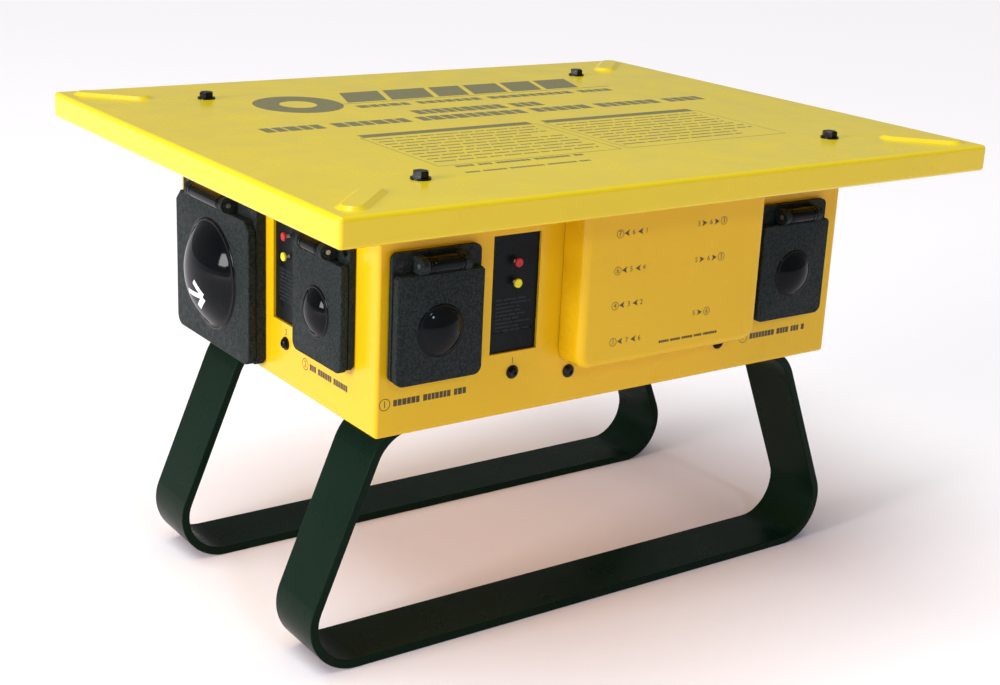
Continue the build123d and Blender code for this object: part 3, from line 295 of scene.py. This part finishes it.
class Piece:
    """A mesh gathered face by face. Each face has a mark, the index of its material."""

    def __init__(self):
        self.points = []
        self.faces = []
        self.marks = []

    def add_ring(self, ring):
        start = len(self.points)
        self.points += [Vector(point) for point in ring]
        return list(range(start, len(self.points)))

    def face(self, indices, mark=0):
        self.faces.append(indices)
        self.marks.append(mark)

    def skin(self, rings, marks=None, around=False):
        """Join neighbouring rings. A ring of one point is a pole, and around joins last to first."""
        loops = [self.add_ring(ring) for ring in rings]
        marks = marks or [0] * len(rings)
        pairs = list(zip(loops, loops[1:], marks))
        if around:
            pairs.append((loops[-1], loops[0], marks[-1]))
        for first, second, mark in pairs:
            count = max(len(first), len(second))
            for index in range(count):
                after = (index + 1) % count
                if len(first) == 1:
                    self.face((first[0], second[after], second[index]), mark)
                elif len(second) == 1:
                    self.face((first[index], first[after], second[0]), mark)
                else:
                    self.face((first[index], first[after], second[after], second[index]), mark)

    def prism(self, outline, low, high):
        loops = [self.add_ring([(x, y, z) for x, y in outline]) for z in (low, high)]
        count = len(outline)
        self.face(tuple(reversed(loops[0])))
        self.face(tuple(loops[1]))
        for index in range(count):
            after = (index + 1) % count
            self.face((loops[0][index], loops[0][after], loops[1][after], loops[1][index]))

    def bar(self, x, y, width, height, low, high):
        """A flat bar from its lower left corner."""
        self.prism([(x, y), (x + width, y), (x + width, y + height), (x, y + height)], low, high)

    def band(self, x, y, outer, inner, low, high, stretch=1.0):
        """A flat ring, which stretch makes wider or narrower."""
        def circle(radius, z):
            turns = around_turn(RING_STEPS)
            return [(x + stretch * radius * math.cos(a), y + radius * math.sin(a), z) for a in turns]

        rings = [circle(outer, low), circle(outer, high), circle(inner, high), circle(inner, low)]
        self.skin(rings, around=True)

    def lathe(self, profile, centre=(0, 0), steps=32, marks=None):
        """Turn (radius, height) points about the local z axis. A radius of 0 is a pole."""
        rings = []
        for radius, height in profile:
            if radius == 0:
                rings.append([(centre[0], centre[1], height)])
                continue
            rings.append([
                (centre[0] + radius * math.cos(a), centre[1] + radius * math.sin(a), height)
                for a in around_turn(steps)
            ])
        self.skin(rings, marks)

    def digits(self, text, x, y, size, low, high):
        """A printed number, centred at x, y."""
        curve = bpy.data.curves.new("digits", "FONT")
        curve.body = text
        curve.size = size
        curve.align_x, curve.align_y = "CENTER", "CENTER"
        curve.extrude = (high - low) / 2
        curve.resolution_u = 3
        holder = bpy.data.objects.new("digits", curve)
        mesh = bpy.data.meshes.new_from_object(holder)
        shape = bmesh.new()
        shape.from_mesh(mesh)
        bmesh.ops.remove_doubles(shape, verts=shape.verts, dist=0.0001)
        start = len(self.points)
        self.points += [v.co + Vector((x, y, (low + high) / 2)) for v in shape.verts]
        shape.verts.index_update()
        for face in shape.faces:
            self.face(tuple(start + v.index for v in face.verts))
        shape.free()
        bpy.data.objects.remove(holder)
        bpy.data.curves.remove(curve)
        bpy.data.meshes.remove(mesh)

    def take_in(self, other, matrix):
        """Add another piece's faces, moved by a matrix in metres."""
        start = len(self.points)
        self.points += [matrix @ (point * MM) / MM for point in other.points]
        self.faces += [tuple(start + index for index in face) for face in other.faces]
        self.marks += other.marks

    def make(self, name, matrix, materials, body, stands_for=()):
        mesh = bpy.data.meshes.new(name)
        mesh.from_pydata([matrix @ (point * MM) for point in self.points], [], self.faces)
        for material in materials:
            mesh.materials.append(MATERIALS[material])
        mesh.polygons.foreach_set("material_index", self.marks)
        shape = bmesh.new()
        shape.from_mesh(mesh)
        bmesh.ops.recalc_face_normals(shape, faces=shape.faces)
        shape.to_mesh(mesh)
        shape.free()
        mesh.shade_smooth()
        mesh.set_sharp_from_angle(angle=math.radians(34))
        piece = add_to_scene(name, mesh)
        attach(piece, body)
        if stands_for:
            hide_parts(*stands_for)


# ---- flip lids -----------------------------------------------------------------------------------
SMALL = {
    "half": 33.0, "low": -44.5, "high": 28.7, "back": 5.3, "front": 11.0, "corner": 6.0, "chamfer": 1.8,
    "dome_y": -10.0, "dome_r": 17.0, "dome_h": 6.5, "axis_y": 34.9, "axis_h": 12.5, "barrel_r": 5.5,
    "barrel_half": 13.0, "rim": 1.1,
}
LARGE = {
    "half": 60.5, "low": -60.0, "high": 45.6, "back": 7.8, "front": 14.0, "corner": 8.0, "chamfer": 7.5,
    "dome_y": -5.7, "dome_r": 40.0, "dome_h": 16.0, "axis_y": 51.6, "axis_h": 14.9, "barrel_r": 5.8,
    "barrel_half": 26.0, "rim": 1.8,
}
DOME_WALL = 2.2
EDGE_R = 1.2
PIN_BORE = 1.64
POCKET_R = 4.1
POCKET_HALF = 7.0


def divided(points, spacing):
    """The same closed outline with each side cut into lengths near the spacing."""
    dense = []
    for first, second in zip(points, points[1:] + points[:1]):
        pieces = max(1, round(math.dist(first, second) / spacing))
        for step in range(pieces):
            share = step / pieces
            dense.append(tuple(a + (b - a) * share for a, b in zip(first, second)))
    return dense


def lid_outline(size):
    """Counter-clockwise outline with round lower corners and cut upper ones."""
    half, low, high = size["half"], size["low"], size["high"]
    corner, cut = size["corner"], size["chamfer"]

    def round_corner(side, start):
        angles = [math.radians(start + step * 90 / 8) for step in range(9)]
        x, y = side * (half - corner), low + corner
        return [(x + corner * math.cos(angle), y + corner * math.sin(angle)) for angle in angles]

    points = round_corner(1, 270)
    points += [(half, high - cut), (half - cut, high), (-half + cut, high), (-half, high - cut)]
    points += round_corner(-1, 180)
    return divided(points, 4)


def dome_height(size, radius, shrink=0.0):
    """Height of the dome's sphere above the lid's front, at a radius from its middle."""
    ball = (size["dome_r"] ** 2 + size["dome_h"] ** 2) / (2 * size["dome_h"])
    centre = size["dome_h"] - ball
    return centre + math.sqrt((ball - shrink) ** 2 - radius**2)


def flip_lid(name, size):
    """Make a lid's cover and give back its frame, whose origin is on the wall below the hinge."""
    joint = JOINTS[f"{name}_hinge"]
    axis = Vector(joint["axis"])
    out = (-axis).cross(Vector((0, 0, 1)))
    hinge = Vector(joint["pos_m"])
    origin = hinge - MM * (size["axis_y"] * Vector((0, 0, 1)) + size["axis_h"] * out)
    matrix = wall_frame(origin, out)
    back, front, radius = size["back"], size["front"], size["dome_r"]
    outline = lid_outline(size)
    middle = Vector((0, size["dome_y"], 0))
    spokes = [(Vector((x, y, 0)) - middle).normalized() for x, y in outline]

    def edge(inset, z):
        return [Vector((x, y, z)) - spoke * inset for (x, y), spoke in zip(outline, spokes)]

    def circle(r, z):
        return [middle + spoke * r + Vector((0, 0, z)) for spoke in spokes]

    # the hollow under the dome
    inner = radius - DOME_WALL - 0.6
    rings = [[middle + Vector((0, 0, front + dome_height(size, 0, DOME_WALL)))]]
    for share in (0.2, 0.4, 0.6, 0.8, 0.95):
        rings.append(circle(inner * share, front + dome_height(size, inner * share, DOME_WALL)))
    rings += [circle(inner, front - 0.4), circle(inner, back + 0.4), circle(inner + 0.4, back)]
    # a groove in the back, near the edge
    rings += [edge(3.2, back), edge(3.0, back + 0.7), edge(1.8, back + 0.7), edge(1.6, back)]
    # the side, with a rounded front edge
    rings += [edge(0.5, back), edge(0, back + 0.5), edge(0, front - EDGE_R)]
    for degrees in (22.5, 45, 67.5, 90):
        angle = math.radians(degrees)
        rings.append(edge(EDGE_R * (1 - math.cos(angle)), front - EDGE_R + EDGE_R * math.sin(angle)))
    # the glossy dome, with a raised rim round it
    dull_rings = len(rings)
    rim = size["rim"]
    rings += [circle(radius + rim, front), circle(radius + 0.6 * rim, front + 0.12 * rim)]
    rings += [circle(radius + 0.25 * rim, front + 0.35 * rim), circle(radius - 0.1, front + 0.8 * rim)]
    for share in (0.97, 0.93, 0.87, 0.8, 0.72, 0.63, 0.54, 0.45, 0.36, 0.27, 0.18, 0.09):
        lift = dome_height(size, radius * share)
        rings.append(circle(radius * share, front + max(lift, 0.8 * rim)))
    rings.append([middle + Vector((0, 0, front + size["dome_h"]))])
    marks = [0] * dull_rings + [1] * (len(rings) - dull_rings)
    cover = Piece()
    cover.skin(rings, marks)
    add_barrel(cover, size)
    add_arm(cover, size)
    cover.make(f"{name}_cover", matrix, ["cover_plastic", "cover_gloss"], name, [name])
    return matrix


def add_barrel(cover, size):
    """The hinge barrel, with the spring's pocket inside, rounded ends and a ring near each end."""
    half, radius = size["barrel_half"], size["barrel_r"]
    profile = [(-POCKET_HALF, POCKET_R), (-POCKET_HALF, PIN_BORE), (-half, PIN_BORE), (-half, radius - 1.0)]
    profile += [(-half + 0.3, radius - 0.35), (-half + 1.0, radius), (-half + 2.6, radius)]
    profile += [(-half + 2.9, radius - 0.4), (-half + 3.5, radius - 0.4), (-half + 3.8, radius)]
    mirrored = [(-x, r) for x, r in reversed(profile)]
    rings = []
    for x, r in profile + mirrored:
        rings.append([
            (x, size["axis_y"] + r * math.cos(a), size["axis_h"] + r * math.sin(a))
            for a in around_turn(RING_STEPS)
        ])
    cover.skin(rings, [1] * len(rings), around=True)


def add_arm(cover, size):
    """The web that joins the lid's plate to its barrel."""
    low, top, back = size["high"] - 4, size["axis_y"] - 1, size["back"] + 0.2
    step_z = size["axis_h"] - POCKET_R - 0.3
    front = size["front"] - EDGE_R
    outline = [(low, back), (top, back), (top, step_z), (top - 3, front), (low, front)]
    middle = Vector((sum(y for y, _ in outline), sum(z for _, z in outline), 0)) / len(outline)
    half = size["barrel_half"]
    rings = []
    for x, shrink in ((-half + 0.2, 0.86), (-half + 0.7, 1.0), (half - 0.7, 1.0), (half - 0.2, 0.86)):
        rings.append([
            (x, middle.x + (y - middle.x) * shrink, middle.y + (z - middle.y) * shrink) for y, z in outline
        ])
    rings = [[(-half + 0.2, middle.x, middle.y)]] + rings + [[(half - 0.2, middle.x, middle.y)]]
    cover.skin(rings, [0] * len(rings))


def make_flip_lids():
    sizes = {f"outlet_lid_{number}": SMALL for number in OUTLET_NUMBERS}
    sizes |= {"inlet_lid": LARGE, "feed_outlet_lid": LARGE}
    return {name: flip_lid(name, size) for name, size in sizes.items()}


def dome_strip(piece, start, end, width):
    """A strip that follows a large dome, between two places measured from the dome's middle."""
    steps = 10
    start = Vector((*start, 0))
    along = Vector((*end, 0)) - start
    side = Vector((-along.y, along.x, 0)).normalized() * width / 2
    rings = []
    for step in range(steps + 1):
        spot = start + along * step / steps
        section = []
        for sign, lift in ((-1, -0.3), (1, -0.3), (1, 0.12), (-1, 0.12)):
            place = spot + side * sign
            height = LARGE["front"] + dome_height(LARGE, math.hypot(place.x, place.y)) + lift
            section.append((place.x, LARGE["dome_y"] + place.y, height))
        rings.append(section)
    first = len(piece.points)
    piece.skin(rings)
    last = len(piece.points) - 4
    piece.face(tuple(range(last, last + 4)))
    piece.face((first + 3, first + 2, first + 1, first))


def dome_arrow(name, matrix):
    """A white arrow on the large dome: a shaft and the two strokes of its head."""
    arrow = Piece()
    width = 4.0
    dome_strip(arrow, (-8, -13), (12.5, -13), width)
    dome_strip(arrow, (4, -3), (14, -12), width)
    dome_strip(arrow, (4, -23), (14, -14), width)
    arrow.make(f"{name}_arrow", matrix, ["white_ink"], name)


# ---- buttons and screws --------------------------------------------------------------------------
BUTTON_PROUD = 3.2
WINDOW_DROP = 21.75
WINDOW_SCREW = 55.1
DOOR_SCREW_X = 69.25
DOOR_SCREW_Y = -147.7


def button_frame(node):
    """A frame on the wall's surface, behind the middle of a button that stands BUTTON_PROUD out of it."""
    low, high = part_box(node)
    middle, size = (low + high) / 2, high - low
    if size.x > size.y:
        out = Vector((math.copysign(1, middle.x), 0, 0))
    else:
        out = Vector((0, math.copysign(1, middle.y), 0))
    reach = abs(size.dot(out)) / 2
    return wall_frame(middle + out * (reach - BUTTON_PROUD * MM), out)


def make_buttons():
    frames = {}
    for number in MODULE_NUMBERS:
        for kind, material in (("test", "red_plastic"), ("reset", "yellow_plastic")):
            node = f"gfci_{kind}_{number}"
            matrix = button_frame(node)
            frames[(kind, number)] = matrix
            button = Piece()
            profile = [(0, -8.2), (0.8, -8.2), (1.1, -7.9), (1.1, 1.4), (2.7, 1.4), (3.1, 1.7)]
            profile += [(3.1, 2.6), (2.95, 2.95), (2.6, 3.15), (2.2, BUTTON_PROUD), (1.2, 3.05), (0, 3.0)]
            button.lathe(profile, marks=[1, 1, 1, 1] + [0] * 8)
            button.make(f"{node}_button", matrix, [material, "white_plastic"], node, [node])
    return frames


def add_screw(screws, matrix, x, y):
    """A flange-head screw at x, y in a wall's frame."""
    profile = [(0, -9.0), (1.6, -9.0), (2.2, -8.2), (2.2, -0.02), (4.3, -0.02), (4.7, 0.25), (4.8, 0.6)]
    profile += [(4.65, 0.95), (4.2, 1.1), (3.9, 1.2), (3.7, 1.9), (3.2, 2.7), (2.5, 3.2), (1.9, 3.4)]
    profile += [(1.45, 3.3), (1.3, 2.9), (1.2, 2.3), (0, 2.2)]
    screw = Piece()
    screw.lathe(profile, (x, y), 36)
    screws.take_in(screw, matrix)


def make_screws(buttons):
    screws = Piece()
    for number in MODULE_NUMBERS:
        for side in (1, -1):
            add_screw(screws, buttons[("test", number)], 0, side * WINDOW_SCREW - WINDOW_DROP)
    low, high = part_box("dead_front")
    middle = Vector(((low.x + high.x) / 2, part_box("door_hinge_leaf")[1].y, TOP))
    for x in (-DOOR_SCREW_X, DOOR_SCREW_X):
        add_screw(screws, wall_frame(middle, FRONT), x, DOOR_SCREW_Y)
    screws.make("panel_screw_set", Matrix.Identity(4), ["black_zinc"], "body", ["panel_screws"])


# ---- generic printing ----------------------------------------------------------------------------
INK_LOW = -0.02
INK_HIGH = 0.06


def words(piece, left, right, y, height, letter, low=INK_LOW, high=INK_HIGH):
    """Stand-in for a line of text: small blocks in word-like groups."""
    x = left
    while x < right - letter:
        for _ in range(random.randint(3, 9)):
            width = letter * random.uniform(0.62, 0.95)
            if x + width > right:
                break
            piece.bar(x, y, width, height, low, high)
            x += width + letter * 0.16
        x += letter * 0.7


def text_box(ink, left, right):
    """A heading bar, ten rows of word-like groups and a thin frame."""
    low, high, line = -127, -27, 0.5
    ink.bar(left, high + 1, right - left, 8.5, INK_LOW, INK_HIGH)
    for row in range(10):
        words(ink, left + 2, right - random.choice((3, 6, 25)), -36 - row * 8.8, 2.1, 2.6)
    for y in (low, high):
        ink.bar(left - 3, y, right - left + 6, line, INK_LOW, INK_HIGH)
    for x in (left - 3, right + 2.5):
        ink.bar(x, low, line, high - low, INK_LOW, INK_HIGH)


def print_lid():
    """A plain ring and slanted blocks for the name, then rows of word-like groups and two text boxes."""
    ink = Piece()
    ink.band(-124, 107, 36, 15, INK_LOW, INK_HIGH, stretch=0.95)
    x, low, high, slant, gap = -84.0, 101, 142, 15, 4.8
    for width in (35, 39, 29, 33, 30, 33):
        outline = [(x, low), (x + width, low), (x + width + slant, high), (x + slant, high)]
        ink.prism(outline, INK_LOW, INK_HIGH)
        x += width + gap
    ink.bar(-92, 96, 260, 1.0, INK_LOW, INK_HIGH)
    words(ink, -86, 168, 77, 10, 10)
    words(ink, -58, 66, 38, 16, 10)
    words(ink, -197, 208, 14, 15, 11)
    for left, right in ((-144, 0), (13, 157)):
        text_box(ink, left, right)
    words(ink, -137, -31, -134, 4.2, 4.0)
    words(ink, -141, -40, -151, 3.2, 3.2)
    ink.make("lid_print", Matrix.Translation((0, 0, TOP)), ["lid_ink"], "body")


def print_walls(frames, buttons):
    """A ringed number and word-like groups below each outlet, and a number below each module."""
    for number in OUTLET_NUMBERS:
        wall = frames[f"outlet_lid_{number}"]
        label = Piece()
        left, y = -34.0, -58.4
        label.band(left, y, 4.2, 3.7, INK_LOW, INK_HIGH)
        label.digits(str(number), left, y, 6.6, INK_LOW, INK_HIGH)
        words(label, left + 6.5, left + 64, y - 2.2, 4.4, 3.3)
        if number in MODULE_NUMBERS:
            gap = wall.inverted() @ buttons[("test", number)].translation
            label.digits(str(number), gap.x / MM, -43.6, 6.2, INK_LOW, INK_HIGH)
        label.make(f"wall_print_{number}", wall, ["dark_ink"], "body")


def print_modules(buttons):
    """Faint word-like groups on the lower half of each module's face, and a faint bar in its two slots."""
    face_low, face_high = -2.22, -2.15
    slot_low, slot_high = -3.2, -3.1
    for number in MODULE_NUMBERS:
        label = Piece()
        for row in range(9):
            y = -26.5 - row * 2.7
            words(label, -14, random.choice((6, 11, 14)), y, 1.1, 1.7, face_low, face_high)
        for side in (-1, 1):
            label.bar(side * 11.2 - 4.4, -48.3, 8.8, 0.5, slot_low, slot_high)
        label.make(f"module_print_{number}", buttons[("test", number)], ["faint_ink"], "body")


def arrow_mark(piece, x, y, size, way):
    """A small arrowhead that points right when way is 1 and left when it's -1."""
    tip, tail, notch = x + way * size / 2, x - way * size / 2, x - way * size / 4
    outline = [(tip, y), (tail, y + size / 2), (notch, y), (tail, y - size / 2)]
    piece.prism(outline[::way], INK_LOW, INK_HIGH)


LEFT_ROW = {"places": (-11.4, 0.4, 11.6), "heads": (-5.6, 6.2), "ringed": 0, "way": -1}
RIGHT_ROW = {"places": (-11.6, -0.4, 11.4), "heads": (-6.6, 4.9), "ringed": -1, "way": 1}
SHORT_ROW = {"places": (-6, 6), "heads": (-0.6,), "ringed": -1, "way": 1}
LEGEND = (
    (-18.2, -46.7, "761", LEFT_ROW),
    (-18.3, -72.4, "654", LEFT_ROW),
    (-18.6, -97.0, "432", LEFT_ROW),
    (-18.3, -122.9, "176", LEFT_ROW),
    (51.9, -46.9, "563", RIGHT_ROW),
    (52.0, -72.9, "563", RIGHT_ROW),
    (47.9, -111.8, "56", SHORT_ROW),
)


def legend_row(piece, x, y, digits, row):
    """Digits with arrowheads between them, and a ring round one of the digits."""
    piece.band(x + row["places"][row["ringed"]], y, 3.0, 2.6, INK_LOW, INK_HIGH)
    for digit, place in zip(digits, row["places"]):
        piece.digits(digit, x + place, y, 5.2, INK_LOW, INK_HIGH)
    for head in row["heads"]:
        arrow_mark(piece, x + head, y, 4.6, row["way"])


def print_door():
    """The legend's rows of digits, and a line of word-like groups."""
    legend = Piece()
    for x, y, digits, row in LEGEND:
        legend_row(legend, x, y, digits, row)
    words(legend, 11.5, 67, -129.6, 1.8, 2.0)
    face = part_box("breaker_door")[0].y
    legend.make("door_print", wall_frame((0, face, TOP), FRONT), ["dark_ink"], "breaker_door")


def print_breakers():
    """Numbers and on and off marks on the breakers' faces."""
    marks = Piece()
    for number in BREAKER_NUMBERS:
        joint = JOINTS[f"breaker_handle_{number}_pivot"]
        x, z = joint["pos_m"][0] / MM, (joint["pos_m"][2] - TOP) / MM
        side = joint["axis"][2]
        marks.digits(str(number), x + side * 15.5, z, 7.0, INK_LOW, INK_HIGH)
        marks.bar(x - side * 11 - 0.4, z - 2, 0.8, 4, INK_LOW, INK_HIGH)
        marks.band(x + side * 10.4, z, 1.8, 1.3, INK_LOW, INK_HIGH)
    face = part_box("circuit_breakers")[0].y
    marks.make("breaker_print", wall_frame((0, face, TOP), FRONT), ["white_ink"], "body")


# ---- CAD parts that stay -------------------------------------------------------------------------
def soften_edges():
    """A small rounding on the moulded and cut edges of the CAD parts."""
    widths = {"outlet_plates": 0.5, "power_plates": 0.6, "gfci_modules": 0.4, "lid_bolts": 0.25}
    for name, width in widths.items():
        modifier = NODES[name].modifiers.new("soft_edge", "BEVEL")
        modifier.width = width * MM
        modifier.segments = 2
        modifier.limit_method = "ANGLE"
        modifier.angle_limit = math.radians(50)
        modifier.harden_normals = False


make_camera()
make_stage()
dress_nodes()
soften_edges()
lid_frames = make_flip_lids()
for lid in ("inlet_lid", "feed_outlet_lid"):
    dome_arrow(lid, lid_frames[lid])
button_frames = make_buttons()
make_screws(button_frames)
print_lid()
print_walls(lid_frames, button_frames)
print_modules(button_frames)
print_door()
print_breakers()
